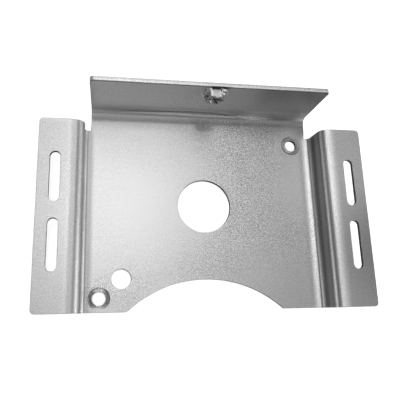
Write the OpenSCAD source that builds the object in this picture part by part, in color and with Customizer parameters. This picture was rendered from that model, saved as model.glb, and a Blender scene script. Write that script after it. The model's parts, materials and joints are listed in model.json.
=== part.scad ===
// Motor mounting bracket. One folded sheet makes a flat plate, a flange bent up
// along the rear edge and two raised, slotted wings. A hexagon nut is welded to
// the inner face of the flange, for a screw that sets the tension of a belt.
// The origin is the centre of the main bore on the plate's back face. +X points
// to the right wing, +Y to the flange and +Z from the back face to the top face.

/* [Sheet] */
// Thickness of the sheet
sheet_t = 3.2; // [2:0.1:4]
// Inside radius of every bend
bend_r = 3; // [2:0.5:5]

/* [Plate] */
// Clear width of the tray between the inner faces of the two webs
tray_w = 187.4; // [175:0.2:210]
// Distance from the bore's centre to the front edge
front_reach = 80; // [75:0.5:110]
// Radius of the round cut-out in the front edge
arc_r = 90; // [75:1:120]
// Depth of the round cut-out behind the front edge
arc_depth = 23; // [10:0.5:30]
// Radius of the corners where the cut-out meets the front edge
arc_corner_r = 2; // [1:0.5:4]

/* [Wings] */
// Width of a wing, from the inner face of its web to its outer edge
wing_w = 31.3; // [27:0.1:45]
// Length of a wing, back from the front edge
wing_l = 139.5; // [130:0.5:148]
// Height of the wing's top face above the plate's top face
wing_rise = 23; // [15:0.5:40]
// Radius of the outer corners of a wing
wing_corner_r = 3; // [1:0.5:6]
// Width of a slot
slot_w = 7.5; // [5:0.1:10]
// Length of a slot from end to end
slot_l = 37; // [20:0.5:42]
// Distance between the centres of the two slots in a wing
slot_pitch = 49; // [45:0.5:58]
// Distance from the front edge to the near end of the first slot
slot_front = 28; // [10:0.5:34]
// Distance from the wing's outer edge to the centre line of its slots
slot_inset = 12.3; // [9:0.1:14]

/* [Flange] */
// Distance from the bore's centre to the flange's outer face
flange_reach = 80; // [76:0.5:110]
// Height of the flange above the plate's back face
flange_h = 54; // [36:0.5:80]
// Step from the inner face of a web in to the end of the flange
flange_step = 4.9; // [3:0.1:12]
// Radius of the free corners of the flange
flange_corner_r = 3; // [1:0.5:6]

/* [Holes] */
// Diameter of the main bore
main_bore_d = 42; // [20:0.5:60]
// Diameter of the side hole
side_hole_d = 14.5; // [8:0.5:20]
// Distance from the left web's inner face to the side hole's centre
side_hole_from_web = 29.2; // [27:0.1:35]
// Distance from the front edge to the side hole's centre
side_hole_from_front = 24; // [22:0.5:35]
// Diameter of the two small bores
small_bore_d = 9.4; // [6:0.1:10.4]
// Inner diameter of the ring that is pressed around each small bore
ring_in_d = 11.4; // [11:0.1:13]
// Outer diameter of the ring
ring_out_d = 15.8; // [14:0.1:18]
// Depth of the ring
ring_depth = 0.5; // [0.2:0.1:1]
// Distance from the left web's inner face to the left small bore's centre
left_bore_from_web = 13.2; // [12.5:0.1:14]
// Distance from the front edge to the left small bore's centre
left_bore_from_front = 10; // [9.5:0.1:12]
// Distance from the right web's inner face to the right small bore's centre
right_bore_from_web = 17.7; // [14:0.1:30]
// Distance from the flange's inner face to the right small bore's centre
right_bore_from_flange = 23.8; // [14:0.1:40]

/* [Nut] */
// Width of the nut across its flats
nut_af = 13; // [11:0.5:16]
// Thickness of the nut
nut_h = 6.5; // [4:0.1:10]
// Diameter of the round face that the nut's chamfer leaves
nut_face_d = 12; // [9.5:0.1:12.6]
// Diameter at the crests of the nut's thread
thread_d = 6.65; // [4:0.05:8]
// Width of the countersink around the thread, at each end
thread_lead = 0.8; // [0.2:0.1:1]
// Sideways distance from the bore's centre to the nut's axis
nut_x = 1.5; // [-60:0.5:60]
// Distance from the flange's free edge down to the nut's axis
nut_drop = 9.5; // [9:0.5:20]
// Diameter of the hole through the flange behind the nut
screw_hole_d = 9; // [8.5:0.1:10]
// Leg of the weld beads beside the nut
weld_leg = 3; // [1.5:0.1:4]
// Length of a weld bead between its round ends
weld_l = 3; // [1:0.5:5]

/* [Hidden] */
$fn = 96;
// How far a cutting body runs past the face that it cuts
past = 1;
// How far a corner's rounding reaches into the front cut-out, so that their arcs cross
seam = 0.01;
// Slope of the chamfer on the nut's front face
nut_chamfer_deg = 30;
// Directions, around the nut's axis, of the two flats that are welded
weld_sides = [30, 150];
bend_out_r = bend_r + sheet_t;
web_x = tray_w / 2;
outer_x = web_x + wing_w;
wing_top = sheet_t + wing_rise;
wing_back_y = wing_l - front_reach;
flange_y = flange_reach - sheet_t;
flange_x = web_x - flange_step;
slot_x = outer_x - slot_inset;
first_slot_y = slot_front + slot_l / 2 - front_reach;
nut_z = flange_h - nut_drop;
left_bore = [left_bore_from_web - web_x, left_bore_from_front - front_reach];
right_bore = [web_x - right_bore_from_web, flange_y - right_bore_from_flange];
side_hole = [side_hole_from_web - web_x, side_hole_from_front - front_reach];

// A quarter of the sheet's bend, in the first quadrant about the bend's centre
module bend_quarter() {
    intersection() {
        difference() {
            circle(r = bend_out_r);
            circle(r = bend_r);
        }
        square(bend_out_r);
    }
}

// Right half of the cross-section: plate, lower bend, web, upper bend and wing
module half_section() {
    square([web_x - bend_r, sheet_t]);
    translate([web_x - bend_r, bend_out_r]) rotate(-90) bend_quarter();
    translate([web_x, bend_out_r]) square([sheet_t, wing_top - 2 * bend_out_r]);
    translate([web_x + bend_out_r, wing_top - bend_out_r]) rotate(90) bend_quarter();
    translate([web_x + bend_out_r, wing_top - sheet_t]) square([wing_w - bend_out_r, sheet_t]);
}

// Plan of the plate and wings, with the outer corners rounded
module wing_plan() {
    translate([-outer_x, wing_corner_r - front_reach])
        square([2 * outer_x, wing_l - 2 * wing_corner_r]);
    translate([wing_corner_r - outer_x, -front_reach])
        square([2 * (outer_x - wing_corner_r), wing_l]);
    for (x = [wing_corner_r - outer_x, outer_x - wing_corner_r])
        for (y = [wing_corner_r - front_reach, wing_back_y - wing_corner_r])
            translate([x, y]) circle(r = wing_corner_r);
}

// Plate, webs and wings, bent from the sheet along the Y direction
module tray() {
    intersection() {
        translate([0, wing_back_y, 0]) rotate([90, 0, 0]) linear_extrude(wing_l) {
            half_section();
            mirror([1, 0]) half_section();
        }
        translate([0, 0, -past]) linear_extrude(wing_top + 2 * past) wing_plan();
    }
}

// Section of the neck and the flange across the rear bend, from the wings' back edge
module flange_section() {
    translate([wing_back_y, 0]) square([flange_y - bend_r - wing_back_y, sheet_t]);
    translate([flange_y - bend_r, bend_out_r]) rotate(-90) bend_quarter();
    translate([flange_y, bend_out_r]) square([sheet_t, flange_h - bend_out_r]);
}

// Front view of the flange, with its free corners rounded
module flange_face() {
    translate([-flange_x, 0]) square([2 * flange_x, flange_h - flange_corner_r]);
    translate([flange_corner_r - flange_x, 0])
        square([2 * (flange_x - flange_corner_r), flange_h]);
    for (x = [flange_corner_r - flange_x, flange_x - flange_corner_r])
        translate([x, flange_h - flange_corner_r]) circle(r = flange_corner_r);
}

// Neck and flange, bent up along the X direction
module flange() {
    intersection() {
        translate([-flange_x, 0, 0]) rotate([90, 0, 90]) linear_extrude(2 * flange_x)
            flange_section();
        translate([0, flange_reach + past, 0]) rotate([90, 0, 0])
            linear_extrude(flange_reach - wing_back_y + 2 * past) flange_face();
    }
}

// Waste at one corner of the front cut-out, outside the corner's rounding
module arc_corner_waste(arc_y) {
    y = arc_corner_r - front_reach;
    reach = arc_r + arc_corner_r - seam;
    x = sqrt(pow(reach, 2) - pow(y - arc_y, 2));
    inner = [0, arc_y] + [x, y - arc_y] * (arc_r - past) / reach;
    difference() {
        polygon([[x, y], inner, [inner[0], -front_reach - past], [x, -front_reach - past]]);
        translate([x, y]) circle(r = arc_corner_r);
    }
}

// Plan of the round cut-out in the front edge
module front_cutout() {
    arc_y = arc_depth - arc_r - front_reach;
    translate([0, arc_y]) circle(r = arc_r);
    arc_corner_waste(arc_y);
    mirror([1, 0]) arc_corner_waste(arc_y);
}

// Slot with round ends, along the Y direction
module slot() {
    straight = slot_l - slot_w;
    translate([-slot_w / 2, -straight / 2]) square([slot_w, straight]);
    for (y = [-straight / 2, straight / 2])
        translate([0, y]) circle(d = slot_w);
}

// Small bore with the ring that is pressed into the top face around it
module small_bore() {
    translate([0, 0, -past]) cylinder(d = small_bore_d, h = sheet_t + 2 * past);
    translate([0, 0, sheet_t - ring_depth]) difference() {
        cylinder(d = ring_out_d, h = ring_depth + past);
        translate([0, 0, -past]) cylinder(d = ring_in_d, h = ring_depth + 3 * past);
    }
}

// The folded sheet with all its holes
module bracket_sheet() {
    color("silver") difference() {
        union() {
            tray();
            flange();
        }
        translate([0, 0, -past]) cylinder(d = main_bore_d, h = sheet_t + 2 * past);
        translate([side_hole[0], side_hole[1], -past])
            cylinder(d = side_hole_d, h = sheet_t + 2 * past);
        for (place = [left_bore, right_bore])
            translate([place[0], place[1], 0]) small_bore();
        translate([0, 0, -past]) linear_extrude(sheet_t + 2 * past) front_cutout();
        for (x = [-slot_x, slot_x])
            for (y = [first_slot_y, first_slot_y + slot_pitch])
                translate([x, y, wing_top - sheet_t - past])
                    linear_extrude(sheet_t + 2 * past) slot();
        on_flange() translate([0, 0, -sheet_t - past])
            cylinder(d = screw_hole_d, h = sheet_t + 2 * past);
    }
}

// Puts a shape on the flange's inner face at the nut's axis, with +Z out of the face
module on_flange() {
    translate([nut_x, flange_y, nut_z]) rotate([90, 0, 0]) children();
}

// The nut's hexagon, with one flat up and one down
module nut_hexagon(height) {
    cylinder(d = nut_af / cos(30), h = height, $fn = 6);
}

// Round blank that gives the nut's front face its chamfer
module nut_blank() {
    rim_r = nut_af / cos(30) / 2 + past;
    face_r = nut_face_d / 2;
    rim_z = nut_h - (rim_r - face_r) * tan(nut_chamfer_deg);
    rotate_extrude() polygon([[0, 0], [rim_r, 0], [rim_r, rim_z], [face_r, nut_h], [0, nut_h]]);
}

// Through bore of the nut, with a countersink at each end
module nut_bore() {
    lead_d = thread_d + 2 * thread_lead;
    translate([0, 0, -past]) cylinder(d = thread_d, h = nut_h + 2 * past);
    cylinder(d1 = lead_d, d2 = thread_d, h = thread_lead);
    translate([0, 0, nut_h - thread_lead]) cylinder(d1 = thread_d, d2 = lead_d, h = thread_lead);
}

// Hexagon nut for the adjusting screw
module weld_nut() {
    color("gainsboro") on_flange() difference() {
        intersection() {
            nut_hexagon(nut_h);
            nut_blank();
        }
        nut_bore();
    }
}

// One round-ended weld bead, in the corner between a flat of the nut and the flange
module weld_bead(side) {
    difference() {
        rotate(side) translate([nut_af / 2, 0, 0]) rotate([90, 0, 0]) {
            cylinder(r = weld_leg, h = weld_l, center = true);
            for (z = [-weld_l / 2, weld_l / 2])
                translate([0, 0, z]) sphere(r = weld_leg);
        }
        nut_hexagon(nut_h);
        translate([-nut_af * 2, -nut_af * 2, -2 * weld_leg])
            cube([nut_af * 4, nut_af * 4, 2 * weld_leg]);
    }
}

// The two beads that hold the nut, on its upper left and upper right flats
module weld_beads() {
    color("darkgray") on_flange()
        for (side = weld_sides)
            weld_bead(side);
}

bracket_sheet();
weld_nut();
weld_beads();
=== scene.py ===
"""Looks of a motor mounting bracket: a folded sheet of galvanised steel with a welded nut."""
import json
import math

import bpy
import numpy as np
from mathutils import Matrix, Vector
from mathutils.geometry import delaunay_2d_cdt


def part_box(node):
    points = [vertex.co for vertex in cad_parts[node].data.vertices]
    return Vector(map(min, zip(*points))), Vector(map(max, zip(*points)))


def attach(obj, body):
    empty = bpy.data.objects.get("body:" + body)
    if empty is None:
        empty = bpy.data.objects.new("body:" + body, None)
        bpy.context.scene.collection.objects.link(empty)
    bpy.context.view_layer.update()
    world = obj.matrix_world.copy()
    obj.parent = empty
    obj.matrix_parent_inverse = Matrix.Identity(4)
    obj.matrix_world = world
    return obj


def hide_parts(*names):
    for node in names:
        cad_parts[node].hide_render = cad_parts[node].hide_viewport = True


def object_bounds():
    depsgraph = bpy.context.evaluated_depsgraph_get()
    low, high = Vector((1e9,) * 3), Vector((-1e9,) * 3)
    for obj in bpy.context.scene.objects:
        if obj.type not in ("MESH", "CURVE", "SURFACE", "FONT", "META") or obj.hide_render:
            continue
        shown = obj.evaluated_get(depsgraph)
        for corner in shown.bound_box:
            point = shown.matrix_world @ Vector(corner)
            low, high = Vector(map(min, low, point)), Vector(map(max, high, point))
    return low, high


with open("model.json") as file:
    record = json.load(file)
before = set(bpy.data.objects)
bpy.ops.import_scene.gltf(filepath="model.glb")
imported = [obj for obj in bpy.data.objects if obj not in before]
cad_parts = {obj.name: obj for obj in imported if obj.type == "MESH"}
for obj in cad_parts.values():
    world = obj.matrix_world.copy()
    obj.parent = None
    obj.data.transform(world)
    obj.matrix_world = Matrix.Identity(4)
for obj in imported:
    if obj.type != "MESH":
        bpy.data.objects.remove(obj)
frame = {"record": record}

CAD_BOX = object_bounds()
MOUNTS = {m["name"]: m for m in frame["record"]["mounts"]}
MM = 0.001

# Sizes of the sheet, in millimetres
SHEET = 3.2
WEB_X = 93.0
WING_TOP = 26.2
WING_BACK_Y = 59.5
WING_CORNER_R = 3.0
FLANGE_X = 88.8
FLANGE_CORNER_R = 3.0
NOTCH_R = 0.5
CUTOUT_R = 90.0
CUTOUT_DEPTH = 23.0
CUTOUT_CORNER_R = 2.0
RING_IN_R = 5.7
RING_OUT_R = 7.9
RING_DEPTH = 0.5
RING_MARGIN = 0.4
SCREW_HOLE_R = 4.5
EDGE_TOP_R = 0.35
EDGE_LOW_R = 0.2
EDGE_TOP_TURN = (0, 30, 60, 90)
EDGE_LOW_TURN = (0, 45, 90)

# Bends: the sheet leans evenly over a run-in, then turns round a tight core (radii at its middle)
WING_RUN_IN = 6.4
WING_RUN_IN_DEG = 15.5
WING_CORE_R = 4.7
WEB_DEG = 86.3
FLANGE_RUN_IN = 2.0
FLANGE_RUN_IN_DEG = 5.0
FLANGE_CORE_R = 6.5
NECK_FADE = 6.0

# How far the webs stand from two equal ones in the photograph, in millimetres. The right one moves in,
# by the distance out from the middle. The left one moves out, by the distance along the blank.
RIGHT_WEB_IN = ([78.0, 84.0, 92.0, 98.0, 109.0], [0.0, 0.2, 0.45, 0.9, 0.0])
LEFT_WEB_OUT = ([84.4, 93.0, 97.5, 107.0, 111.0, 115.0, 121.0], [0.0, 0.4, 0.8, -0.6, -0.5, 0.4, 0.0])

# Sizes of the nut, in millimetres
NUT_AF = 13.0
NUT_FACE_R = 6.0
NUT_CORNER_R = 0.7
NUT_CHAMFER_DEG = 30.0
NUT_CHAMFER_LEAST = 0.06
NUT_EASE = 0.12
NUT_EASE_LOW = 0.036
NUT_LEAD = 0.8
NUT_SHARP_DEG = 28.0
THREAD_PITCH = 1.25
THREAD_ROOT_R = 4.0
THREAD_FROM_FACE = 0.04

# Profile of the thread, as shares of its depth: steepness of its flanks, flat of its crest and its depth
THREAD_FLANK = 2.6
THREAD_CREST = 0.25
THREAD_DEPTH = 0.95

# Sizes of the weld beads, in millimetres: the bead, its ripples, and how far it reaches into the metal
BEAD_LEG = 3.0
BEAD_STRAIGHT = 3.0
BEAD_TIP = 0.1
BEAD_RIPPLE_PITCH = 0.85
BEAD_RIPPLE_BOW = 0.9
BEAD_IN_NUT = 0.05
BEAD_ROOT_IN_NUT = 0.3
BEAD_IN_SHEET = 0.02

# Shape of the weld beads: directions from the nut, and shares of the leg
BEAD_SIDES = {"right": 30.0, "left": 150.0}
BEAD_LUMPS = {"right": 0.06, "left": 0.16}
BEAD_WAIST = {"right": 0.34, "left": 0.16}
BEAD_BODY = 0.93
BEAD_RIPPLE = 0.03
BEAD_WAVES = 7
BEAD_WAVES_EVEN = 3
BEAD_WAVE_RATE = 2.6

# Where the nut gets blotched painted shade (its left side) and where its corners get a painted highlight, as
# the cosine at which each begins
SHADE_AND_SOOT_FROM = 0.5
CORNER_HIGHLIGHT_FROM = 0.55
PATCH_STEEP = 3

# Fineness of the meshes: distances in millimetres, and numbers of steps
GRID = 5.0
CLEAR = 1.2
SAME = 1e-6
MERGE = 1e-5
FOLD_STEP = 0.01
BEND_STEPS = 18
BEND_TABLE = 400
CORNER_STEPS = 8
SLOT_STEPS = 20
HOLE_STEPS = 96
CUTOUT_STEPS = 90
RING_STEPS = 20
LINK_TESTS = 12
NUT_CORNER_STEPS = 4
NUT_FLAT_STEPS = 10
THREAD_ROWS = 130
BEAD_ROWS = 90
BEAD_COLUMNS = 44
BEAD_TURN = (-4, 94)

# Rows of the nut's mesh, as shares of the way over its base, sides, chamfer and outer face
BASE_ROWS = (0, 1, 4)
SIDE_ROWS = (0.02, 1, 6)
CHAMFER_ROWS = (0.12, 1, 5)
FACE_ROWS = (0.15, 1, 4)

# Skins of the sheet, by their place in its list of materials
ZINC, SHEARED, PUNCHED = 0, 1, 2

BOX_LOW = [c / MM for c in CAD_BOX[0]]
BOX_HIGH = [c / MM for c in CAD_BOX[1]]
FRONT_Y = BOX_LOW[1]
FLANGE_MID_Y = BOX_HIGH[1] - SHEET / 2
FLANGE_IN_Y = BOX_HIGH[1] - SHEET


def place(mount):
    """Place of a mount, in millimetres."""
    return [c / MM for c in MOUNTS[mount]["pos_m"]]


def radius(mount):
    """Radius of a mount's hole, in millimetres."""
    dims = MOUNTS[mount]["dims"]
    return dims.get("r_mm", dims.get("hole_r_mm"))


def smooth(t):
    """Rises smoothly from 0 at 0 to 1 at 1."""
    t = np.clip(t, 0, 1)
    return t * t * (3 - 2 * t)


class Path:
    """Path of the middle of the sheet across its bends, by distance along the flat blank."""

    def __init__(self, along, slope, anchor, share):
        """Takes slopes along the bends. The point at that share of the path's reach lies at anchor."""
        step = np.diff(along)
        lean = (slope[1:] + slope[:-1]) / 2
        reach = np.concatenate([[0], np.cumsum(step * np.cos(lean))])
        self.start = anchor - reach[-1] * share
        self.along = along + self.start
        self.out = reach + self.start
        self.up = np.concatenate([[0], np.cumsum(step * np.sin(lean))])
        self.slope = slope
        self.end = self.along[-1]

    def at(self, along):
        """How far out and up the points come, and the slope there."""
        past = np.maximum(along - self.end, 0)
        out = np.interp(along, self.along, self.out) + np.minimum(along - self.start, 0)
        out += past * math.cos(self.slope[-1])
        up = np.interp(along, self.along, self.up) + past * math.sin(self.slope[-1])
        return out, up, np.interp(along, self.along, self.slope)


def bend(run_in, run_in_deg, core_r, full_deg=90.0):
    """Distances and slopes of a bend up to its full angle: a gentle run-in, then a round core."""
    core = math.radians(full_deg - run_in_deg) * core_r
    along = np.linspace(0, run_in + core, BEND_TABLE)
    gentle = run_in_deg * along / run_in
    tight = run_in_deg + np.degrees((along - run_in) / core_r)
    return along, np.radians(np.where(along < run_in, gentle, tight))


def wing_bend():
    """One bend of a wing's web."""
    return bend(WING_RUN_IN, WING_RUN_IN_DEG, WING_CORE_R, WEB_DEG)


def wing_path():
    """Plate, bend up, web, bend out and wing. The web leans a little outward."""
    along, slope = wing_bend()
    lean = (slope[1:] + slope[:-1]) / 2
    rise = (np.diff(along) * np.sin(lean)).sum()
    web = (WING_TOP - SHEET - 2 * rise) / math.sin(slope[-1])
    back = 2 * along[-1] + web - along[::-1]
    return Path(np.append(along, back), np.append(slope, slope[::-1]), WEB_X + SHEET / 2, 0.5)


def flange_path():
    """Plate, bend up and flange."""
    return Path(*bend(FLANGE_RUN_IN, FLANGE_RUN_IN_DEG, FLANGE_CORE_R), FLANGE_MID_Y, 1.0)


# Where the bends come on the blank, and how much longer it is than the folded sheet
WING_PATH = wing_path()
FLANGE_PATH = flange_path()
WING_GAIN = WING_PATH.end - WING_PATH.out[-1]
FLANGE_GAIN = FLANGE_PATH.end - FLANGE_PATH.up[-1]
BLANK_U = BOX_HIGH[0] + WING_GAIN
BLANK_V = BOX_HIGH[2] + FLANGE_GAIN - SHEET / 2


def fold_points(flat):
    """Folds points (u, v, w) of the flat blank into the finished sheet. The neck has no side bends."""
    u, v, w = flat.T
    side = np.where(u < 0, -1.0, 1.0)
    out, up, tilt = WING_PATH.at(np.abs(u))
    back, high, lean = FLANGE_PATH.at(v)
    hold = 1 - smooth((v - WING_BACK_Y) / NECK_FADE)
    out = out + np.where(u > 0, -np.interp(out, *RIGHT_WEB_IN), np.interp(-u, *LEFT_WEB_OUT))
    out = np.abs(u) + (out - np.abs(u)) * hold
    tilt = tilt * hold
    lift = w - SHEET / 2
    return np.stack([
        side * (out - lift * np.sin(tilt)),
        back - (lift + up * hold) * np.sin(lean),
        SHEET / 2 + high + (up * hold + lift * np.cos(tilt)) * np.cos(lean),
    ], 1)


def fold(flat, normals):
    """Folds points of the flat blank, and their normals, into the finished sheet."""
    ways = []
    for axis in range(3):
        step = np.zeros(3)
        step[axis] = FOLD_STEP
        way = fold_points(flat + step) - fold_points(flat - step)
        ways.append(way / np.linalg.norm(way, axis=1)[:, None])
    turned = sum(normals[:, axis:axis + 1] * ways[axis] for axis in range(3))
    return fold_points(flat), turned / np.linalg.norm(turned, axis=1)[:, None]


def arc_points(arc, inset):
    """Points and outward directions of an arc (u, v, radius, start, end, steps) of an edge.

    An arc that turns left is an outer corner; one that turns right is a hole or an inner corner."""
    u, v, r, start, end, steps = arc
    angle = np.radians(np.linspace(start, end, steps + 1))
    ray = np.stack([np.cos(angle), np.sin(angle)], 1)
    hand = 1 if end > start else -1
    return np.array([u, v]) + ray * (r - hand * inset), ray * hand


def stretch(a, b, rows):
    """Points between a and b on a straight edge, where it crosses the mesh's rows."""
    axis = 0 if abs(b[0] - a[0]) > abs(b[1] - a[1]) else 1
    low, high = sorted((a[axis], b[axis]))
    values = [r for r in rows[axis] if low + CLEAR / 4 < r < high - CLEAR / 4]
    if b[axis] < a[axis]:
        values.reverse()
    return [a + (b - a) * (r - a[axis]) / (b[axis] - a[axis]) for r in values]


def edge_loop(arcs, inset, rows):
    """Closed loop of points along an edge, set back by inset, with outward directions."""
    parts = [arc_points(arc, inset) for arc in arcs]
    points = []
    rays = []
    for i, (arc, ray) in enumerate(parts):
        follower = parts[(i + 1) % len(parts)][0]
        points.extend(arc)
        rays.extend(ray)
        if np.linalg.norm(follower[0] - arc[-1]) < SAME:
            points.pop()
            rays.pop()
            continue
        between = stretch(arc[-1], follower[0], rows)
        points.extend(between)
        rays.extend([ray[-1]] * len(between))
    return np.array(points), np.array(rays)


def hole_arcs(u, v, r):
    """A round hole."""
    return [(u, v, r, 360, 0, HOLE_STEPS)]


def slot_arcs(u, v, r, length):
    """A slot with round ends, along v."""
    half = length / 2 - r
    return [(u, v + half, r, 180, 0, SLOT_STEPS), (u, v - half, r, 0, -180, SLOT_STEPS)]


def blank_arcs():
    """Outer edge of the flat blank: cut-out, wings, notches and flange."""
    centre_v = FRONT_Y + CUTOUT_DEPTH - CUTOUT_R
    corner_v = FRONT_Y + CUTOUT_CORNER_R
    corner_u = math.sqrt((CUTOUT_R + CUTOUT_CORNER_R) ** 2 - (corner_v - centre_v) ** 2)
    reach = math.degrees(math.atan2(corner_v - centre_v, corner_u))
    wing_u = BLANK_U - WING_CORNER_R
    front_v = FRONT_Y + WING_CORNER_R
    back_v = WING_BACK_Y - WING_CORNER_R
    notch_u = FLANGE_X + NOTCH_R
    notch_v = WING_BACK_Y + NOTCH_R
    free_u = FLANGE_X - FLANGE_CORNER_R
    free_v = BLANK_V - FLANGE_CORNER_R
    return [
        (0, centre_v, CUTOUT_R, 180 - reach, reach, CUTOUT_STEPS),
        (corner_u, corner_v, CUTOUT_CORNER_R, 180 + reach, 270, CORNER_STEPS),
        (wing_u, front_v, WING_CORNER_R, -90, 0, CORNER_STEPS),
        (wing_u, back_v, WING_CORNER_R, 0, 90, CORNER_STEPS),
        (notch_u, notch_v, NOTCH_R, 270, 180, CORNER_STEPS // 2),
        (free_u, free_v, FLANGE_CORNER_R, 0, 90, CORNER_STEPS),
        (-free_u, free_v, FLANGE_CORNER_R, 90, 180, CORNER_STEPS),
        (-notch_u, notch_v, NOTCH_R, 0, -90, CORNER_STEPS // 2),
        (-wing_u, back_v, WING_CORNER_R, 90, 180, CORNER_STEPS),
        (-wing_u, front_v, WING_CORNER_R, 180, 270, CORNER_STEPS),
        (-corner_u, corner_v, CUTOUT_CORNER_R, 270, 360 - reach, CORNER_STEPS),
    ]


def edge_profile():
    """Profile of a sheared edge from the top face to the back face, as (inset, height)."""
    profile = []
    for a in np.radians(EDGE_TOP_TURN):
        profile.append((EDGE_TOP_R * (1 - math.sin(a)), SHEET - EDGE_TOP_R * (1 - math.cos(a))))
    for a in np.radians(EDGE_LOW_TURN):
        profile.append((EDGE_LOW_R * (1 - math.cos(a)), EDGE_LOW_R * (1 - math.sin(a))))
    return profile


def ring_profile(bore_r):
    """Profile of a small bore with the round-bottomed ring that is pressed around it."""
    middle = (RING_IN_R + RING_OUT_R) / 2
    half = (RING_OUT_R - RING_IN_R) / 2 + RING_MARGIN
    profile = []
    for r in np.linspace(middle + half, middle - half, RING_STEPS + 1):
        depth = RING_DEPTH * (1 - smooth(abs(r - middle) / half))
        profile.append((r - bore_r, SHEET - depth))
    return profile + edge_profile()


def profile_normals(profile):
    """Direction of the surface along a profile, as (outward, upward)."""
    step = np.diff(np.array(profile), axis=0)
    face = np.stack([-step[:, 1], -step[:, 0]], 1)
    face /= np.linalg.norm(face, axis=1)[:, None]
    inner = face[:-1] + face[1:]
    inner /= np.linalg.norm(inner, axis=1)[:, None]
    return np.vstack([[0, 1], inner, [0, -1]])


def bend_spans():
    """Where the bends lie on the blank, along u and along v: first and last distance of each."""
    reach = wing_bend()[0][-1]
    sides = [(WING_PATH.start, WING_PATH.start + reach), (WING_PATH.end - reach, WING_PATH.end)]
    return sides, [(FLANGE_PATH.start, FLANGE_PATH.end)]


def mesh_rows():
    """Rows of the sheet's mesh along u and along v: an even grid, and close rows in the bends."""
    def spread(low, high):
        """Even rows from one place to another."""
        return list(np.linspace(low, high, max(2, round((high - low) / GRID) + 1)))

    def close(span):
        """Close rows across a bend."""
        return list(np.linspace(*span, BEND_STEPS + 1))

    (low, high), (rear,) = bend_spans()
    half = spread(0, low[0])[1:-1] + close(low) + spread(low[1], high[0])[1:-1] + close(high)
    half += spread(high[1], BLANK_U)[1:-1]
    half = [u for u in half if abs(u - FLANGE_X) > CLEAR / 4]
    rows_u = sorted([-u for u in half] + [0] + half)
    rows_v = spread(FRONT_Y, WING_BACK_Y)[1:-1] + spread(WING_BACK_Y + CLEAR, rear[0])[:-1]
    rows_v += close(rear) + spread(rear[1], BLANK_V)[1:-1]
    return rows_u, rows_v


def inside(points, loops):
    """Whether points lie in the sheet: inside the outline and outside the holes."""
    odd = np.zeros(len(points), bool)
    for loop in loops:
        for a, b in zip(loop, np.roll(loop, -1, 0)):
            if a[1] == b[1]:
                continue
            crosses = (a[1] > points[:, 1]) != (b[1] > points[:, 1])
            at = a[0] + (points[:, 1] - a[1]) * (b[0] - a[0]) / (b[1] - a[1])
            odd ^= crosses & (points[:, 0] < at)
    return odd


def far_from(points, loops, gap):
    """Whether points lie at least gap from every loop."""
    clear = np.ones(len(points), bool)
    for loop in loops:
        for a, b in zip(loop, np.roll(loop, -1, 0)):
            t = np.clip((points - a) @ (b - a) / ((b - a) @ (b - a)), 0, 1)
            near = a + t[:, None] * (b - a)
            clear &= np.linalg.norm(points - near, axis=1) > gap
    return clear


def cap(loops, rows):
    """Triangles of a flat face bounded by loops: returns the grid points inside and the triangles."""
    grid = np.array([(u, v) for u in rows[0] for v in rows[1]])
    grid = grid[inside(grid, loops)]
    grid = grid[far_from(grid, loops, CLEAR)]
    points = np.vstack(loops + [grid])
    edges = []
    first = 0
    for loop in loops:
        n = len(loop)
        edges += [(first + i, first + (i + 1) % n) for i in range(n)]
        first += n
    links = np.array(row_edges(points, rows))
    ends = points[links]
    whole = np.ones(len(links), bool)
    for part in np.linspace(0, 1, LINK_TESTS + 2)[1:-1]:
        whole &= inside(ends[:, 0] * (1 - part) + ends[:, 1] * part, loops)
    edges += links[whole].tolist()
    found = delaunay_2d_cdt([Vector(p) for p in points], edges, [], 0, MERGE)
    source = [min(ids) for ids in found[3]]
    triangles = np.array([[source[i] for i in face] for face in found[2]])
    middle = points[triangles].mean(1)
    return grid, triangles[inside(middle, loops)]


def row_edges(points, rows):
    """Edges that keep the triangles in line along the rows of the bends."""
    edges = []
    for axis, spans in enumerate(bend_spans()):
        for value in rows[axis]:
            if not any(low - SAME <= abs(value) <= high + SAME for low, high in spans):
                continue
            if axis == 1 and value < 0:
                continue
            on = np.flatnonzero(np.abs(points[:, axis] - value) < SAME)
            on = on[np.argsort(points[on, 1 - axis])]
            edges += list(zip(on[:-1].tolist(), on[1:].tolist()))
    return edges


def new_object(name, points, faces, materials):
    """Object from points in millimetres. It rides on the part's one body."""
    mesh = bpy.data.meshes.new(name)
    mesh.from_pydata((np.asarray(points) * MM).tolist(), [], faces)
    mesh.validate()
    for material in materials:
        mesh.materials.append(material)
    piece = bpy.data.objects.new(name, mesh)
    bpy.context.scene.collection.objects.link(piece)
    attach(piece, "root")
    return piece


def sheet_holes():
    """Every hole in the blank: its arcs and its edge profile."""
    holes = []
    for name in ("main_bore", "side_hole"):
        u, v = place(name)[:2]
        holes.append((hole_arcs(u, v, radius(name)), edge_profile()))
    for name in ("left_small_bore", "right_small_bore"):
        u, v = place(name)[:2]
        holes.append((hole_arcs(u, v, radius(name)), ring_profile(radius(name))))
    for name in ("left_slots", "right_slots"):
        x, y = place(name)[:2]
        u = math.copysign(abs(x) + WING_GAIN, x)
        dims = MOUNTS[name]["dims"]
        for v in (y - dims["spacing_y_mm"] / 2, y + dims["spacing_y_mm"] / 2):
            holes.append((slot_arcs(u, v, radius(name), dims["slot_length_mm"]), edge_profile()))
    x, _, z = place("nut_thread")
    holes.append((hole_arcs(x, z + FLANGE_GAIN - SHEET / 2, SCREW_HOLE_R), edge_profile()))
    return holes


def is_wall(above, below):
    """Whether the strip between two points (inset, height) of an edge's profile is its cut wall."""
    return max(above[1], below[1]) < SHEET - EDGE_TOP_R / 2 and below[0] < EDGE_LOW_R / 2


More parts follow.
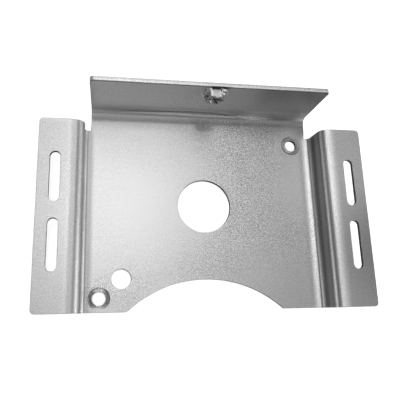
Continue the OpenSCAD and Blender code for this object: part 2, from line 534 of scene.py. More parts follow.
def sheet_edges(rows):
    """Strips along every edge of the blank: points, normals, faces, their skins, and the two rims.

    A rim holds each edge's loop on that face, with the numbers of its points."""
    flat = []
    normals = []
    quads = []
    skins = []
    rims = ([], [])
    count = 0
    for number, (arcs, profile) in enumerate([(blank_arcs(), edge_profile())] + sheet_holes()):
        tilt = profile_normals(profile)
        cut = PUNCHED if number else SHEARED
        for k, (inset, height) in enumerate(profile):
            points, rays = edge_loop(arcs, inset, rows)
            n = len(points)
            flat.append(np.column_stack([points, np.full(n, height)]))
            normals.append(np.column_stack([rays * tilt[k][0], np.full(n, tilt[k][1])]))
            if k:
                a, b = count - n, count
                quads += [(a + i, b + i, b + (i + 1) % n, a + (i + 1) % n) for i in range(n)]
                skins += [cut if is_wall(profile[k - 1], profile[k]) else ZINC] * n
            if k == 0:
                rims[0].append((points, range(count, count + n)))
            if k == len(profile) - 1:
                rims[1].append((points, range(count, count + n)))
            count += n
    return flat, normals, quads, skins, rims


def make_sheet(materials):
    """The folded sheet: two faces of the blank, joined by walls with eased edges, then folded."""
    rows = mesh_rows()
    flat, normals, faces, skins, rims = sheet_edges(rows)
    count = sum(len(part) for part in flat)
    for rim, height, up in zip(rims, (SHEET, 0), (1, -1)):
        grid, found = cap([points for points, _ in rim], rows)
        numbers = [i for _, ids in rim for i in ids] + list(range(count, count + len(grid)))
        flat.append(np.column_stack([grid, np.full(len(grid), height)]))
        normals.append(np.tile([0, 0, up], (len(grid), 1)))
        faces += np.array(numbers)[found][:, ::up].tolist()
        count += len(grid)
    flat = np.vstack(flat)
    points, turned = fold(flat, np.vstack(normals))
    sheet = new_object("folded_sheet", points, faces, materials)
    mesh = sheet.data
    mesh.shade_smooth()
    mesh.normals_split_custom_set_from_vertices(turned.tolist())
    for polygon, skin in zip(mesh.polygons, skins):
        polygon.material_index = skin
    blank = mesh.attributes.new("blank", "FLOAT_VECTOR", "POINT")
    blank.data.foreach_set("vector", (flat * MM).astype(np.float32).ravel())
    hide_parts("bracket_sheet")


def nut_frame(radial, angle, lift):
    """Places polar points round the nut's axis; lift is the distance out from the flange."""
    x, _, z = place("nut_thread")
    return np.stack([x + radial * np.cos(angle), FLANGE_IN_Y - lift, z + radial * np.sin(angle)], -1)


def thread_radius(angle, lift):
    """Radius of the nut's bore: a right-hand thread, opened by the countersink at each end."""
    crest = radius("nut_thread")
    nut_h = nut_height()
    turn = np.mod(lift / THREAD_PITCH - angle / (2 * math.pi), 1)
    groove = np.clip((0.5 - np.abs(turn - 0.5)) * THREAD_FLANK - THREAD_CREST, 0, THREAD_DEPTH)
    cone = crest + NUT_LEAD - np.minimum(lift, nut_h - lift)
    return np.maximum(crest + (THREAD_ROOT_R - crest) * groove, cone)


def nut_height():
    """Thickness of the nut."""
    low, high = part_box("weld_nut")
    return (high.y - low.y) / MM


def nut_outline():
    """Angles and radii of the nut's hexagon, with close points round its eased corners."""
    half_side = 30
    lean = math.cos(math.radians(half_side))
    centre = (NUT_AF / 2 - NUT_CORNER_R) / lean
    reach = math.degrees(math.atan2(NUT_CORNER_R / 2, centre + NUT_CORNER_R * lean))
    fine = np.linspace(0, reach, NUT_CORNER_STEPS + 1)
    coarse = np.linspace(reach, half_side, NUT_FLAT_STEPS + 1)[1:]
    off = np.concatenate([fine, coarse])
    round_r = centre * np.cos(np.radians(off))
    round_r += np.sqrt(np.maximum(NUT_CORNER_R ** 2 - (centre * np.sin(np.radians(off))) ** 2, 0))
    flat_r = NUT_AF / 2 / np.cos(np.radians(half_side - off))
    radii = np.where(off <= reach, round_r, flat_r)
    turn = np.concatenate([-off[:0:-1], off[:-1]])
    around = np.concatenate([radii[:0:-1], radii[:-1]])
    angle = np.concatenate([turn + 60 * k for k in range(6)])
    return np.radians(angle), np.tile(around, 6)


def nut_rows(angle, rim):
    """Rows (radii, heights) of the nut's mesh, from its base over the outside and back through the thread.

    Also gives the number of the first row of the chamfer."""
    nut_h = nut_height()
    even = np.ones(len(angle))
    slope = math.tan(math.radians(NUT_CHAMFER_DEG))
    shoulder = nut_h - np.maximum(rim - NUT_FACE_R, NUT_CHAMFER_LEAST) * slope
    mouth = radius("nut_thread") + NUT_LEAD
    rows = []
    for part in np.linspace(*BASE_ROWS):
        rows.append((mouth + (rim - NUT_EASE - mouth) * part, even * 0))
    rows.append((rim, even * NUT_EASE))
    for part in np.linspace(*SIDE_ROWS):
        rows.append((rim, NUT_EASE + (shoulder - 2 * NUT_EASE) * part))
    rows.append((rim - NUT_EASE / 2, shoulder - NUT_EASE_LOW))
    chamfer = len(rows)
    for part in np.linspace(*CHAMFER_ROWS):
        rows.append((rim + (NUT_FACE_R - rim) * part, shoulder + (nut_h - shoulder) * part))
    for part in np.linspace(*FACE_ROWS):
        rows.append((even * (NUT_FACE_R + (mouth - NUT_FACE_R) * part), even * nut_h))
    for lift in np.linspace(nut_h - THREAD_FROM_FACE, THREAD_FROM_FACE, THREAD_ROWS):
        rows.append((thread_radius(angle, even * lift), even * lift))
    return rows, chamfer


def carry(piece, name, values):
    """Gives every point of a mesh a value, for its material."""
    values = np.asarray(values, np.float32)
    piece.data.attributes.new(name, "FLOAT", "POINT").data.foreach_set("value", values)


def make_nut(materials):
    """The hexagon nut as one closed mesh, with painted shade and painted corner highlights marked on it."""
    angle, rim = nut_outline()
    columns = len(angle)
    rows, chamfer = nut_rows(angle, rim)
    points = np.vstack([nut_frame(r, angle, lift) for r, lift in rows])
    n = len(rows)
    faces = []
    for k in range(n):
        a, b = k * columns, (k + 1) % n * columns
        faces += [(a + i, a + (i + 1) % columns, b + (i + 1) % columns, b + i) for i in range(columns)]
    nut = new_object("hexagon_nut", points, faces, materials)
    nut.data.shade_smooth()
    nut.data.set_sharp_from_angle(angle=math.radians(NUT_SHARP_DEG))
    row = np.arange(len(points)) // columns
    around = np.tile(angle, n)
    face = (row >= chamfer) | (row < BASE_ROWS[2])
    shade_and_soot = np.clip((np.cos(around - math.pi) - SHADE_AND_SOOT_FROM) * PATCH_STEEP, 0, 1)
    corner_highlight = np.clip((np.cos(6 * around) - CORNER_HIGHLIGHT_FROM) * PATCH_STEEP, 0, 1)
    carry(nut, "shade_and_soot", np.where(face, 1.0, shade_and_soot))
    carry(nut, "corner_highlight", np.where(face, 0.0, corner_highlight))
    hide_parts("weld_nut")


def make_bead(side, materials):
    """One weld bead in the corner between a flat of the nut and the flange, rippled and lumpy."""
    random = np.random.default_rng(len(side))
    turned = math.radians(BEAD_SIDES[side])
    outward = np.array([math.cos(turned), math.sin(turned)])
    along = np.array([-math.sin(turned), math.cos(turned)])
    half = BEAD_STRAIGHT / 2 + BEAD_LEG
    waves = random.uniform(-1, 1, (BEAD_WAVES, 3)) * [BEAD_WAVE_RATE, BEAD_WAVE_RATE, 0]
    waves[:, 2] = random.uniform(0, 2 * math.pi, BEAD_WAVES)
    x, _, z = place("nut_thread")
    points = []
    for s in np.linspace(-1, 1, BEAD_ROWS):
        run = half * math.sin(s * math.pi / 2)
        past = max(abs(run) - BEAD_STRAIGHT / 2, 0)
        body = math.sqrt(max(BEAD_LEG ** 2 - past ** 2, BEAD_TIP ** 2))
        for turn in np.linspace(*BEAD_TURN, BEAD_COLUMNS):
            a = math.radians(turn)
            bow = BEAD_RIPPLE_BOW * math.sin(2 * a)
            ripple = BEAD_RIPPLE * math.sin((run + bow) * 2 * math.pi / BEAD_RIPPLE_PITCH)
            lump = sum(math.sin(run * p + a * BEAD_LEG * q + shift) for p, q, shift in waves)
            lump /= BEAD_WAVES_EVEN
            waist = BEAD_WAIST[side] * math.sin(2 * a) ** 2
            r = body * (BEAD_BODY + ripple + lump * BEAD_LUMPS[side] - waist)
            flat = outward * (NUT_AF / 2 - BEAD_IN_NUT + r * math.cos(a)) + along * run
            lift = max(r * math.sin(a), -BEAD_IN_SHEET)
            points.append((x + flat[0], FLANGE_IN_Y - lift, z + flat[1]))
        flat = outward * (NUT_AF / 2 - BEAD_ROOT_IN_NUT) + along * run
        points.append((x + flat[0], FLANGE_IN_Y + BEAD_IN_SHEET, z + flat[1]))
    ring = BEAD_COLUMNS + 1
    faces = []
    for k in range(BEAD_ROWS - 1):
        a, b = k * ring, (k + 1) * ring
        faces += [(a + i, a + (i + 1) % ring, b + (i + 1) % ring, b + i) for i in range(ring)]
    faces.append(tuple(range(ring))[::-1])
    faces.append(tuple(range((BEAD_ROWS - 1) * ring, BEAD_ROWS * ring)))
    bead = new_object("weld_bead_" + side, points, faces, materials)
    bead.data.shade_smooth()
    return bead


class Shader:
    """Builds a material's nodes: one call per node, with its inputs by name."""

    def __init__(self, name):
        """Starts a material that has no nodes yet."""
        self.material = bpy.data.materials.new(name)
        self.material.use_nodes = True
        self.tree = self.material.node_tree
        self.tree.nodes.clear()

    def add(self, kind, inputs=None, **settings):
        """A new node. An input that is a socket is linked, and any other is set."""
        node = self.tree.nodes.new("ShaderNode" + kind)
        for key, value in settings.items():
            setattr(node, key, value)
        for key, value in (inputs or {}).items():
            if isinstance(value, bpy.types.NodeSocket):
                self.tree.links.new(value, node.inputs[key])
            else:
                node.inputs[key].default_value = value
        return node

    def carried(self, name, output="Fac"):
        """A value that the mesh carries at its points."""
        return self.add("Attribute", attribute_name=name).outputs[output]

    def noise(self, vector, scale, detail, rough=0.5):
        """Soft random pattern, from 0 to 1."""
        inputs = {"Vector": vector, "Scale": scale, "Detail": detail, "Roughness": rough}
        return self.add("TexNoise", inputs).outputs["Fac"]

    def stretched(self, vector, scales):
        """Random pattern drawn out along an axis: one scale for each."""
        drawn = self.add("VectorMath", {0: vector, 1: scales}, operation="MULTIPLY").outputs[0]
        return self.noise(drawn, *STRETCHED)

    def spread(self, value, low, high, new_low, new_high, smooth=False):
        """Maps a range onto another, and keeps within it."""
        inputs = {"Value": value, "From Min": low, "From Max": high, "To Min": new_low, "To Max": new_high}
        kind = "SMOOTHSTEP" if smooth else "LINEAR"
        return self.add("MapRange", inputs, interpolation_type=kind).outputs["Result"]

    def span(self, value, low, high, new_low, new_high, smooth=False):
        """The same for a place on the blank: its range is in millimetres."""
        return self.spread(value, low * MM, high * MM, new_low, new_high, smooth)

    def math(self, kind, a, b):
        """A step on two numbers."""
        return self.add("Math", {0: a, 1: b}, operation=kind).outputs[0]

    def times(self, *values):
        """All the values multiplied together."""
        whole = values[0]
        for value in values[1:]:
            whole = self.math("MULTIPLY", whole, value)
        return whole

    def plus(self, *values):
        """All the values added together."""
        whole = values[0]
        for value in values[1:]:
            whole = self.math("ADD", whole, value)
        return whole

    def minus(self, a, b):
        """The first value less the second."""
        return self.math("SUBTRACT", a, b)

    def line(self, value, centre, half):
        """1 at the centre of a line and 0 beyond its half width, both in millimetres."""
        off = self.math("ABSOLUTE", self.minus(value, centre * MM), 0.0)
        return self.span(off, 0.0, half, 1.0, 0.0, True)

    def away(self, vector, x, y):
        """Distance from a point of the blank's top face, given in millimetres."""
        point = (x * MM, y * MM, SHEET * MM)
        return self.add("VectorMath", {0: vector, 1: point}, operation="DISTANCE").outputs["Value"]

    def blot(self, vector, x, y, reach):
        """1 at the centre of a round patch and 0 beyond its reach, all in millimetres."""
        return self.span(self.away(vector, x, y), 0.0, reach, 1.0, 0.0, True)

    def fade(self, pattern, amount):
        """1 where the pattern is 0, down to 1 less the amount where it is 1."""
        return self.minus(1.0, self.times(pattern, amount))

    def glow(self, pattern, amount):
        """1 where the pattern is 0, up to 1 and the amount where it is 1."""
        return self.plus(self.times(pattern, amount), 1.0)

    def grey(self, value):
        """A number as a grey colour."""
        return self.add("CombineColor", {"Red": value, "Green": value, "Blue": value}).outputs[0]

    def metal(self, tone, rough, relief, metallic=1.0):
        """Metal with its tone, roughness and relief: pattern, strength and depth in millimetres."""
        height, strength, depth = relief
        bump = self.add("Bump", {"Strength": strength, "Distance": depth * MM, "Height": height})
        return self.finish(self.add("BsdfPrincipled", {
            "Base Color": self.grey(tone),
            "Roughness": rough,
            "Metallic": metallic,
            "Normal": bump.outputs[0],
        }))

    def finish(self, surface):
        """The material, with this surface."""
        self.add("OutputMaterial", {"Surface": surface.outputs[0]})
        return self.material


# The part of a noise's range that carries most of it
GRAIN = (0.3, 0.7)

# Scale and detail of a noise that is drawn out along an axis
STRETCHED = (1.0, 3)

# Noises of the zinc: scale per metre, detail and roughness
ZINC_FINE = (1300, 2, 0.7)
ZINC_COARSE = (420, 2, 0.6)
ZINC_WANDER = (60, 3, 0.6)
ZINC_ROLLED = (40.0, 1100.0, 1.0)

# What the zinc's noises steer: low and high of the noise, then low and high of the effect
DOTS = (0.36, 0.64, -0.66, 0.44)
CLUMPS = (0.34, 0.66, -0.03, 0.03)
WANDERING = (0.35, 0.65, 0.8, 1.2)
ROLLING = (*GRAIN, 0.985, 1.015)

# Tone, roughness and relief of the zinc. Its painted shade and highlights lie on the inner face, from here
# to there (mm).
INNER_FACE = (0.6 * SHEET, 0.9 * SHEET)
ZINC_TONE = 0.635
ZINC_ROUGH = 0.42
ZINC_ROUGH_DOTS = 0.12
ZINC_RELIEF = (0.5, 0.05)
ZINC_RELIEF_LEAST = 0.15

# Patches of speckle on the zinc: place on the blank and reach, in millimetres, and strength
SPECKLE = [
    (27, 4, 48, 0.9),
    (44, 50, 52, 1.2),
    (10, -42, 48, 0.72),
    (-60, -62, 34, 0.7),
    (70, -24, 60, 0.75),
    (4, 46, 42, 0.4),
    (-22, -52, 34, 0.35),
    (-84, -66, 20, 0.8),
    (0, 95, 70, 0.5),
]
SPECKLE_LEAST = 0.27
SPECKLE_MOST = 1.1
CALM = (-46, 2, 54)
CALM_FADE = 0.75

# Painted shade and highlight hairlines along the flange's foot follow this wandering line: places along u,
# and heights over the foot (mm)
CREASE = [(-88, 1.7), (0, 6.1), (42, -0.9), (88, 2.4)]
CREASE_NOISE = (90, 3, 0.7)
CREASE_BROKEN = (0.35, 0.6, 0.35, 1.0)

# Its lines, one of painted shade and three of painted highlight: height over the wandering line and half
# width (mm), and change of brightness
FOOT_SHADE_LINE = (0.0, 1.6, -0.62)
FOOT_HIGHLIGHT_UPPER = (2.6, 1.9, 0.3)
FOOT_HIGHLIGHT_LOWER = (-2.6, 1.6, 0.3)
FOOT_HIGHLIGHT_RIGHT = (0.0, 1.0, 0.85)

# Where along u the lines turn from painted shade to painted highlight, and where the shade line and the
# lower highlight die away
CREASE_TURN = (28, 45)
CREASE_DARK_FROM = (-75, -40, 0.35, 1.0)
CREASE_LOWER_TO = (-20, 10, 1.0, 0.2)

# Shade in the foot in front of the nut: middle and half width along u and along v (mm), and strength
SHADE_U = (12, 30)
SHADE_V = (79.6, 2.2)
SHADE_FADE = 0.4

# Painted shade on the right part of the flange, darker towards its free edge: from and to along v (mm), and
# strength
DARK_ABOVE = (90, 125, 0.0, 0.35)

# Painted highlights and shade along the wings' bends: distance along u, half width (mm) and change of
# brightness
WING_SHADE_AND_HIGHLIGHTS = [
    (100.8, 5.0, -0.42),
    (109.8, 1.5, -0.2),
    (88.5, 3.0, 0.12),
    (-90.2, 1.4, 0.3),
    (-113.0, 1.6, -0.2),
    (-115.8, 2.2, 0.3),
]
WING_MARKS_END = (58, 62)

# Painted highlights and shade along the flange's foot: distance along v, half width (mm), change at the left
# and at the right
FOOT_SHADE_AND_HIGHLIGHTS = [
    (63.0, 8.0, 0.2, 0.0),
    (70.2, 1.2, -0.12, -0.1),
    (75.6, 2.6, -0.45, -0.1),
    (82.0, 4.5, 0.0, 0.65),
    (88.0, 5.0, -0.12, 0.35),
]

# Painted shade in the grooves of the pressed rings: strength at the ends of each groove, from 0 to 1, and
# for each of its arcs the radius, half width (mm) and darkness
RING_GROOVE_SHADE = {
    "left_small_bore": (0.0, [(6.6, 1.8, 0.52), (7.7, 0.6, 0.55), (5.7, 0.5, 0.4)]),
    "right_small_bore": (0.5, [(7.7, 0.8, 0.55)]),
}
# Where the painted shade is darkest, its streaks, and the painted highlight at the ends of each groove
RING_SIDES = (0.3, 0.75)
RING_STREAKS = (0.35, 0.6, 0.5, 1.2)
RING_ENDS_HIGHLIGHT = 0.2

# Painted shadow of the nut on the flange, with weld soot (mm): ragged by this much, dark from the nut to its
# edge, then a painted highlight rim
NUT_SOOT_SHADOW_RAGGED = 0.9
NUT_SOOT_SHADOW_EDGE = (7.8, 8.9)
NUT_SOOT_SHADOW_FADE = 0.75
NUT_HIGHLIGHT_RIM = (9.4, 0.9)
NUT_HIGHLIGHT_RIM_GLOW = 0.55

# Painted shade over the nut, a black patch, from its middle (mm): start and end along v, then place and half
# width along u
BLACK_V = (6.2, 6.8)
BLACK_U = (2.6, 10.5)
BLACK_STEEP = 2.0
BLACK_FADE = 0.9

# Painted shade under the flange's free edge and down its right side (mm)
EDGE_SHADE_TOP = (0.8, 1.1)
EDGE_SHADE_SIDE = (1.5, 0.3)
EDGE_SHADE_SIDE_FROM = (61, 63)
EDGE_SHADE_FADE = 0.6

# Patches of painted shade on the zinc: place on the blank and reach, in millimetres, and strength
SHADE_PATCHES = [
    (86, 67, 15, 0.4),
    (152, -36, 62, 0.42),
]


def speckled(s, blank):
    """How strong the speckle is: it comes in patches, and it is calm at the left."""
    patches = []
    for x, y, reach, amount in SPECKLE:
        patches.append(s.times(s.blot(blank, x, y, reach), amount))
    patch = s.math("MAXIMUM", s.plus(*patches), SPECKLE_LEAST)
    calm = s.fade(s.blot(blank, *CALM), CALM_FADE)
    wander = s.spread(s.noise(blank, *ZINC_WANDER), *WANDERING)
    return s.math("MINIMUM", s.times(patch, calm, wander), SPECKLE_MOST)


def galvanised():
    """Zinc coating: speckled in patches, rolled along the sheet, with painted shade and highlights at the
    bends and rings, and painted shade with weld soot at the nut.
    """
    s = Shader("galvanised_zinc")
    blank = s.carried("blank", "Vector")
    u, v, w = s.add("SeparateXYZ", {"Vector": blank}).outputs
    fine = s.noise(blank, *ZINC_FINE)
    coarse = s.noise(blank, *ZINC_COARSE)
    patch = speckled(s, blank)
    speckle = s.times(s.plus(s.spread(fine, *DOTS), s.spread(coarse, *CLUMPS)), patch)
    rolled = s.spread(s.stretched(blank, ZINC_ROLLED), *ROLLING)
    tone = s.times(s.plus(speckle, 1.0), ZINC_TONE, rolled)
    marks = foot_shade_lines(s, u, v) + bend_shade_and_highlights(s, u, v) + ring_groove_shade(s, blank, u, coarse) + nut_soot_and_painted_shade(s, blank, u, v, coarse)
    inner = s.span(w, *INNER_FACE, 0.0, 1.0)
    marks = s.plus(s.times(s.minus(s.times(*marks), 1.0), inner), 1.0)
    rough = s.minus(ZINC_ROUGH, s.times(speckle, ZINC_ROUGH_DOTS))
    relief = s.times(fine, s.plus(patch, ZINC_RELIEF_LEAST))
    return s.metal(s.times(tone, marks), rough, (relief, *ZINC_RELIEF))


def flange_left(s, u):
    """1 on the left part of the flange and 0 on its right part."""
    return s.span(u, *CREASE_TURN, 1.0, 0.0, True)


def foot_shade_lines(s, u, v):
    """Painted shade and highlight hairlines at the flange's foot. They wander along the bend."""
    middle = (FLANGE_GAIN + SHEET / 2 + CREASE[0][1]) * MM
    for (x0, y0), (x1, y1) in zip(CREASE, CREASE[1:]):
        middle = s.plus(middle, s.span(u, x0, x1, 0.0, (y1 - y0) * MM, True))
    off = s.minus(v, middle)

    def hairline(settings, *limits):
        """One painted line, kept within the limits."""
        height, half, change = settings
        return s.times(s.line(off, height, half), *limits, change)

    left = flange_left(s, u)
    right = s.minus(1.0, left)
    along = s.add("CombineXYZ", {"X": u}).outputs[0]
    broken = s.spread(s.noise(along, *CREASE_NOISE), *CREASE_BROKEN)
    dark = hairline(FOOT_SHADE_LINE, left, broken, s.span(u, *CREASE_DARK_FROM, True))
    upper = hairline(FOOT_HIGHLIGHT_UPPER, broken, left)
    lower = hairline(FOOT_HIGHLIGHT_LOWER, left, s.span(u, *CREASE_LOWER_TO, True))
    bright = hairline(FOOT_HIGHLIGHT_RIGHT, right)
    shade = s.times(s.line(u, *SHADE_U), s.line(v, *SHADE_V))
    return [s.plus(dark, 1.0), s.plus(upper, lower, bright, 1.0), s.fade(shade, SHADE_FADE)]


def bend_shade_and_highlights(s, u, v):
    """Broad painted highlights and shade along the bends of the wings and of the flange."""
    left = flange_left(s, u)
    lines = []
    for x, half, change in WING_SHADE_AND_HIGHLIGHTS:
        lines.append(s.times(s.line(u, x, half), change))
    webs = s.times(s.plus(*lines), s.span(v, *WING_MARKS_END, 1.0, 0.0))
    lines = []
    for y, half, at_left, at_right in FOOT_SHADE_AND_HIGHLIGHTS:
        change = s.span(u, *CREASE_TURN, at_left, at_right, True)
        lines.append(s.times(s.line(v, y, half), change))
    high = s.times(s.span(v, *DARK_ABOVE, True), s.minus(1.0, left))
    return [s.plus(webs, 1.0), s.plus(*lines, 1.0), s.minus(1.0, high)]


def ring_groove_shade(s, blank, u, coarse):
    """Painted shade in the grooves of the two pressed rings, darkest at their left and right sides, with a
    painted highlight at their top and bottom.
    """
    marks = []
    for name, (least, arcs) in RING_GROOVE_SHADE.items():
        x, y = place(name)[:2]
        away = s.away(blank, x, y)
        aside = s.math("DIVIDE", s.math("ABSOLUTE", s.minus(u, x * MM), 0.0), away)
        side = s.spread(aside, *RING_SIDES, least, 1.0, True)
        streaks = s.spread(coarse, *RING_STREAKS)
        for middle, half, amount in arcs:
            marks.append(s.fade(s.times(s.line(away, middle, half), side, streaks), amount))
        ends = s.times(s.line(away, *arcs[0][:2]), s.fade(side, 1.0))
        marks.append(s.glow(ends, RING_ENDS_HIGHLIGHT))
    return marks


def nut_soot_and_painted_shade(s, blank, u, v, coarse):
    """Painted shadow and weld soot round the nut with a painted highlight rim, painted shade over it and at
    the flange's edges, and patches of painted shade.
    """
    x, _, z = place("nut_thread")
    y = z + FLANGE_GAIN - SHEET / 2
    ragged = s.spread(coarse, *GRAIN, -NUT_SOOT_SHADOW_RAGGED * MM, NUT_SOOT_SHADOW_RAGGED * MM)
    away = s.plus(s.away(blank, x, y), ragged)
    halo = s.span(away, *NUT_SOOT_SHADOW_EDGE, 1.0, 0.0, True)
    rim = s.line(away, *NUT_HIGHLIGHT_RIM)
    wide = s.math("MINIMUM", s.times(s.line(u, x + BLACK_U[0], BLACK_U[1]), BLACK_STEEP), 1.0)
    black = s.times(s.span(v, y + BLACK_V[0], y + BLACK_V[1], 0.0, 1.0), wide)
    top = s.line(v, BLANK_V - EDGE_SHADE_TOP[0], EDGE_SHADE_TOP[1])
    side = s.span(u, FLANGE_X - EDGE_SHADE_SIDE[0], FLANGE_X - EDGE_SHADE_SIDE[1], 0.0, 1.0)
    side = s.times(side, s.span(v, *EDGE_SHADE_SIDE_FROM, 0.0, 1.0))
    marks = [s.fade(halo, NUT_SOOT_SHADOW_FADE), s.glow(rim, NUT_HIGHLIGHT_RIM_GLOW), s.fade(black, BLACK_FADE)]
    marks += [s.fade(top, EDGE_SHADE_FADE), s.fade(side, EDGE_SHADE_FADE)]
    for patch_x, patch_y, reach, amount in SHADE_PATCHES:
        marks.append(s.fade(s.blot(blank, patch_x, patch_y, reach), amount))
    return marks


# Cut edges: scales of the grain, roughness, relief, tones, and the burnished band (mm) with its tones
CUT_GRAIN = (1300.0, 1300.0, 500.0)
CUT_ROUGH = 0.5
CUT_RELIEF = (0.6, 0.08)
CUT_TONES = (0.76, 0.96)
CUT_RAGGED = 0.4
CUT_BAND = (0.8, 1.8, 0.92, 1.0)

# Punched walls, near black as painted shade and less dark in the slots: the same, and how much brighter they
# are in the slots, with the change along u (mm)
PUNCH_GRAIN = (1300.0, 1300.0, 200.0)
PUNCH_ROUGH = 0.5
PUNCH_RELIEF = (0.7, 0.1)
PUNCH_TONES = (0.04, 0.13)
PUNCH_SLOTS = (100, 104, 1.0, 2.6)

# Plating of the nut: noises, clean tones, painted highlight on its corners, spots of painted shade,
# roughness and relief
PLATE_GRAIN = (1200, 3, 0.6)
PLATE_BLOTCH = (760, 3, 0.65)
PLATE_TONES = (0.52, 0.72)
PLATE_CORNER_HIGHLIGHT = 0.25
PLATE_SPOTS = (0.47, 0.58)
PLATE_SPOTS_FADE = 0.86
PLATE_SPOTS_ROUGH = 0.15
PLATE_ROUGH = (0.4, 0.3)
PLATE_RELIEF = (0.5, 0.08)

# Weld metal: noises, dark scale, roughness and relief; then for each bead, a painted lit copy on the right
# and a painted shaded copy on the left, the name, darkest and brightest tone and how metallic
WELD_GRAIN = (1100, 4, 0.6)
WELD_BLOTCH = (600, 2, 0.5)
WELD_SCALE = (0.4, 0.52, 0.4, 1.0)
WELD_ROUGH = (0.5, 0.3)
WELD_RELIEF = (0.6, 0.12)
WELDS = {
    "right": ("weld_painted_lit", 0.4, 0.66, 1.0),
    "left": ("weld_painted_shaded", 0.45, 0.95, 0.45),
}


def sheared():
    """Cut edges of the sheet: bright metal, burnished near one face and torn near the other."""
    s = Shader("sheared_edge")
    blank = s.carried("blank", "Vector")
    w = s.add("SeparateXYZ", {"Vector": blank}).outputs["Z"]
    grain = s.stretched(blank, CUT_GRAIN)
    ragged = s.spread(grain, *GRAIN, -CUT_RAGGED * MM, CUT_RAGGED * MM)
    band = s.span(s.plus(w, ragged), *CUT_BAND)
    tone = s.times(s.spread(grain, *GRAIN, *CUT_TONES), band)
    return s.metal(tone, CUT_ROUGH, (grain, *CUT_RELIEF))


def punched():
    """Walls of the punched holes: near black as painted shade, with lines across the thickness. The slots
    get less of it.
    """
    s = Shader("punched_wall")
    blank = s.carried("blank", "Vector")
    grain = s.stretched(blank, PUNCH_GRAIN)
    across = s.math("ABSOLUTE", s.add("SeparateXYZ", {"Vector": blank}).outputs["X"], 0.0)
    tone = s.times(s.spread(grain, *GRAIN, *PUNCH_TONES), s.span(across, *PUNCH_SLOTS))
    return s.metal(tone, PUNCH_ROUGH, (grain, *PUNCH_RELIEF))


def plated():
    """Plating on the nut: bright where it is clean, with a painted highlight on its corners, and blotched
    painted shade on its left side and at the face.
    """
    s = Shader("bright_plating")
    point = s.add("TexCoord").outputs["Object"]
    grain = s.noise(point, *PLATE_GRAIN)
    blotch = s.noise(point, *PLATE_BLOTCH)
    shaded_spots = s.times(s.spread(blotch, *PLATE_SPOTS, 0.0, 1.0, True), s.carried("shade_and_soot"))
    clean = s.plus(s.spread(grain, *GRAIN, *PLATE_TONES), s.times(s.carried("corner_highlight"), PLATE_CORNER_HIGHLIGHT))
    tone = s.times(clean, s.fade(shaded_spots, PLATE_SPOTS_FADE))
    rough = s.plus(s.spread(grain, *GRAIN, *PLATE_ROUGH), s.times(shaded_spots, PLATE_SPOTS_ROUGH))
    return s.metal(tone, rough, (grain, *PLATE_RELIEF))


def welded(name, dark, bright, metallic):
    """Weld metal with dark scale between its ripples."""
    s = Shader(name)
    point = s.add("TexCoord").outputs["Object"]
    grain = s.noise(point, *WELD_GRAIN)
    scale = s.spread(s.noise(point, *WELD_BLOTCH), *WELD_SCALE, True)
    tone = s.times(s.spread(grain, *GRAIN, dark, bright), scale)
    return s.metal(tone, s.spread(grain, *GRAIN, *WELD_ROUGH), (grain, *WELD_RELIEF), metallic)


def plain(name, tone, glow):
    """Plain matt white or grey with a glow of its own, for the floor and the backdrop."""
    s = Shader(name)
    return s.finish(s.add("BsdfPrincipled", {
        "Base Color": (tone, tone, tone, 1),
        "Roughness": PAINT_ROUGH,
        "Emission Color": (1, 1, 1, 1),
        "Emission Strength": glow,
    }))


# Stage: half widths of the floor and of the backdrop, in metres, the heights, and the paints
STAGE = 30.0
BACKDROP = 4.5
BACKDROP_LOW = -0.5
FLOOR_Z = -0.00002
FLOOR_BASE_Z = -0.00006
WHITE = 0.9
BASE_GREY = 0.45
PAINT_ROUGH = 0.9
FLOOR_GLOW = 0.8
BACKDROP_GLOW = 1.0


def square(half, height):
    """Corners of a level square."""
    return [(x * half, y * half, height) for x, y in ((-1, -1), (1, -1), (1, 1), (-1, 1))]


def stage_piece(name, points, faces, material):
    """A piece of the stage. All but the floor's base are for the camera alone."""
    mesh = bpy.data.meshes.new(name)
    mesh.from_pydata(points, [], faces)
    mesh.materials.append(material)
    piece = bpy.data.objects.new(name, mesh)
    if name != "floor_base":
        piece.visible_glossy = False
        piece.visible_diffuse = False
        piece.visible_shadow = False
    bpy.context.scene.collection.objects.link(piece)


def make_stage():
    """Pale floor and a backdrop, both white for the camera. The metal mirrors a greyer base of the floor."""
    flat = [(0, 1, 2, 3)]
    walls = [(k, (k + 1) % 4, (k + 1) % 4 + 4, k + 4) for k in range(4)]
    corners = square(BACKDROP, BACKDROP_LOW) + square(BACKDROP, STAGE)
    stage_piece("floor", square(STAGE, FLOOR_Z), flat, plain("pale_floor", WHITE, FLOOR_GLOW))
    stage_piece("floor_base", square(STAGE, FLOOR_BASE_Z), flat, plain("floor_base", BASE_GREY, 0.0))
    stage_piece("backdrop", corners, walls, plain("pale_backdrop", WHITE, BACKDROP_GLOW))


# Camera of the photograph, fitted to the bracket's edges. Pixels are those of the 400 by 400 picture,
# the place is in millimetres, and the turn is an axis that is as long as its angle.
PICTURE = 400
FOCAL_PIXELS = 456.7
CENTRE_PIXEL = (181.3, 200.6)
CAMERA_AT = (-74.66, -79.21, 346.81)
CAMERA_TURN = (-0.23634, -0.15930, -0.00406)
SENSOR_MM = 36.0
CAMERA_REACH = (0.01, 100)


def make_camera():
    """Camera at the photograph's viewing angle."""
    turn = Vector(CAMERA_TURN)
    rotation = Matrix.Rotation(turn.length, 3, turn.normalized())
    flip = Matrix.Diagonal((1, -1, -1))
    facing = (rotation @ flip).transposed() @ flip
    data = bpy.data.cameras.new("camera")
    data.sensor_width = SENSOR_MM
    data.lens = FOCAL_PIXELS / PICTURE * SENSOR_MM
    data.shift_x = (PICTURE / 2 - CENTRE_PIXEL[0]) / PICTURE
    data.shift_y = (CENTRE_PIXEL[1] - PICTURE / 2) / PICTURE
    data.clip_start, data.clip_end = CAMERA_REACH
    camera = bpy.data.objects.new("camera", data)
    camera.matrix_world = Matrix.Translation(Vector(CAMERA_AT) * MM) @ facing.to_4x4()
    bpy.context.scene.collection.objects.link(camera)
    bpy.context.scene.camera = camera


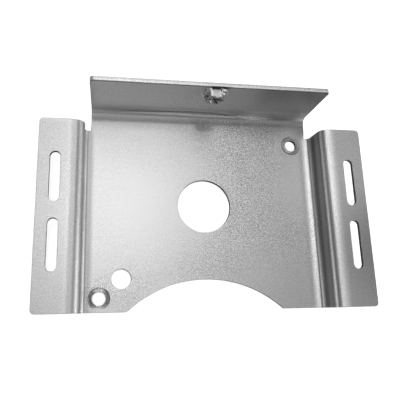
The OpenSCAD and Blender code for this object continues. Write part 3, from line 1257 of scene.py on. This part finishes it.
# Soft lights: lean from straight up, azimuth from +X, half the spread along and across the lean,
# all in degrees, and brightness. They stand at one distance, in metres.
STUDIO = {
    "key_spot": (10, 93, 1.4, 1.4, 98.0),
    "key_soft": (17, 88, 3.5, 4, 5.0),
    "key_wide": (22, 88, 7, 6, 2.0),
    "front_fill": (31, -90, 14, 14, 1.4),
    "right_wall": (80, 10, 25, 25, 0.5),
    "right_low": (86, -8, 14, 25, 3.0),
    "front_right_low": (86, -50, 14, 25, 3.5),
    "left_low": (86, 185, 14, 20, 1.9),
    "rear_left_fill": (55, 118, 20, 30, 0.35),
    "rear_fill": (45, 92, 15, 20, 0.9),
    "left_fill": (29, 165, 12, 12, 0.25),
    "right_fill": (30, 33, 9, 11, 1.0),
    "top_fill": (3, -90, 10, 10, 0.7),
    "right_near": (18, -10, 8, 8, 0.4),
}
STUDIO_DISTANCE = 12.0


def softbox(name, lean, azimuth, along, across, brightness):
    """Oval soft light of the studio, turned towards the bracket."""
    data = bpy.data.lights.new(name, "AREA")
    data.shape = "ELLIPSE"
    data.size = 2 * STUDIO_DISTANCE * math.tan(math.radians(along))
    data.size_y = 2 * STUDIO_DISTANCE * math.tan(math.radians(across))
    data.energy = brightness * math.pi * data.size * data.size_y
    light = bpy.data.objects.new(name, data)
    turn = Matrix.Rotation(math.radians(azimuth), 4, "Z") @ Matrix.Rotation(math.radians(lean), 4, "Y")
    light.matrix_world = turn @ Matrix.Translation((0, 0, STUDIO_DISTANCE))
    light.visible_camera = False
    bpy.context.scene.collection.objects.link(light)


def make_lights():
    """Plain soft studio light. The world gives none of its own."""
    world = bpy.data.worlds.new("studio")
    bpy.context.scene.world = world
    world.use_nodes = True
    world.node_tree.nodes["Background"].inputs["Strength"].default_value = 0.0
    for name, setting in STUDIO.items():
        softbox(name, *setting)


def main():
    """Builds the bracket and its stage."""
    make_sheet([galvanised(), sheared(), punched()])
    make_nut([plated()])
    beads = [make_bead(side, [welded(*WELDS[side])]) for side in BEAD_SIDES]
    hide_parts("weld_beads")
    make_stage()
    make_camera()
    make_lights()
    bpy.context.scene.view_settings.view_transform = "Standard"


main()
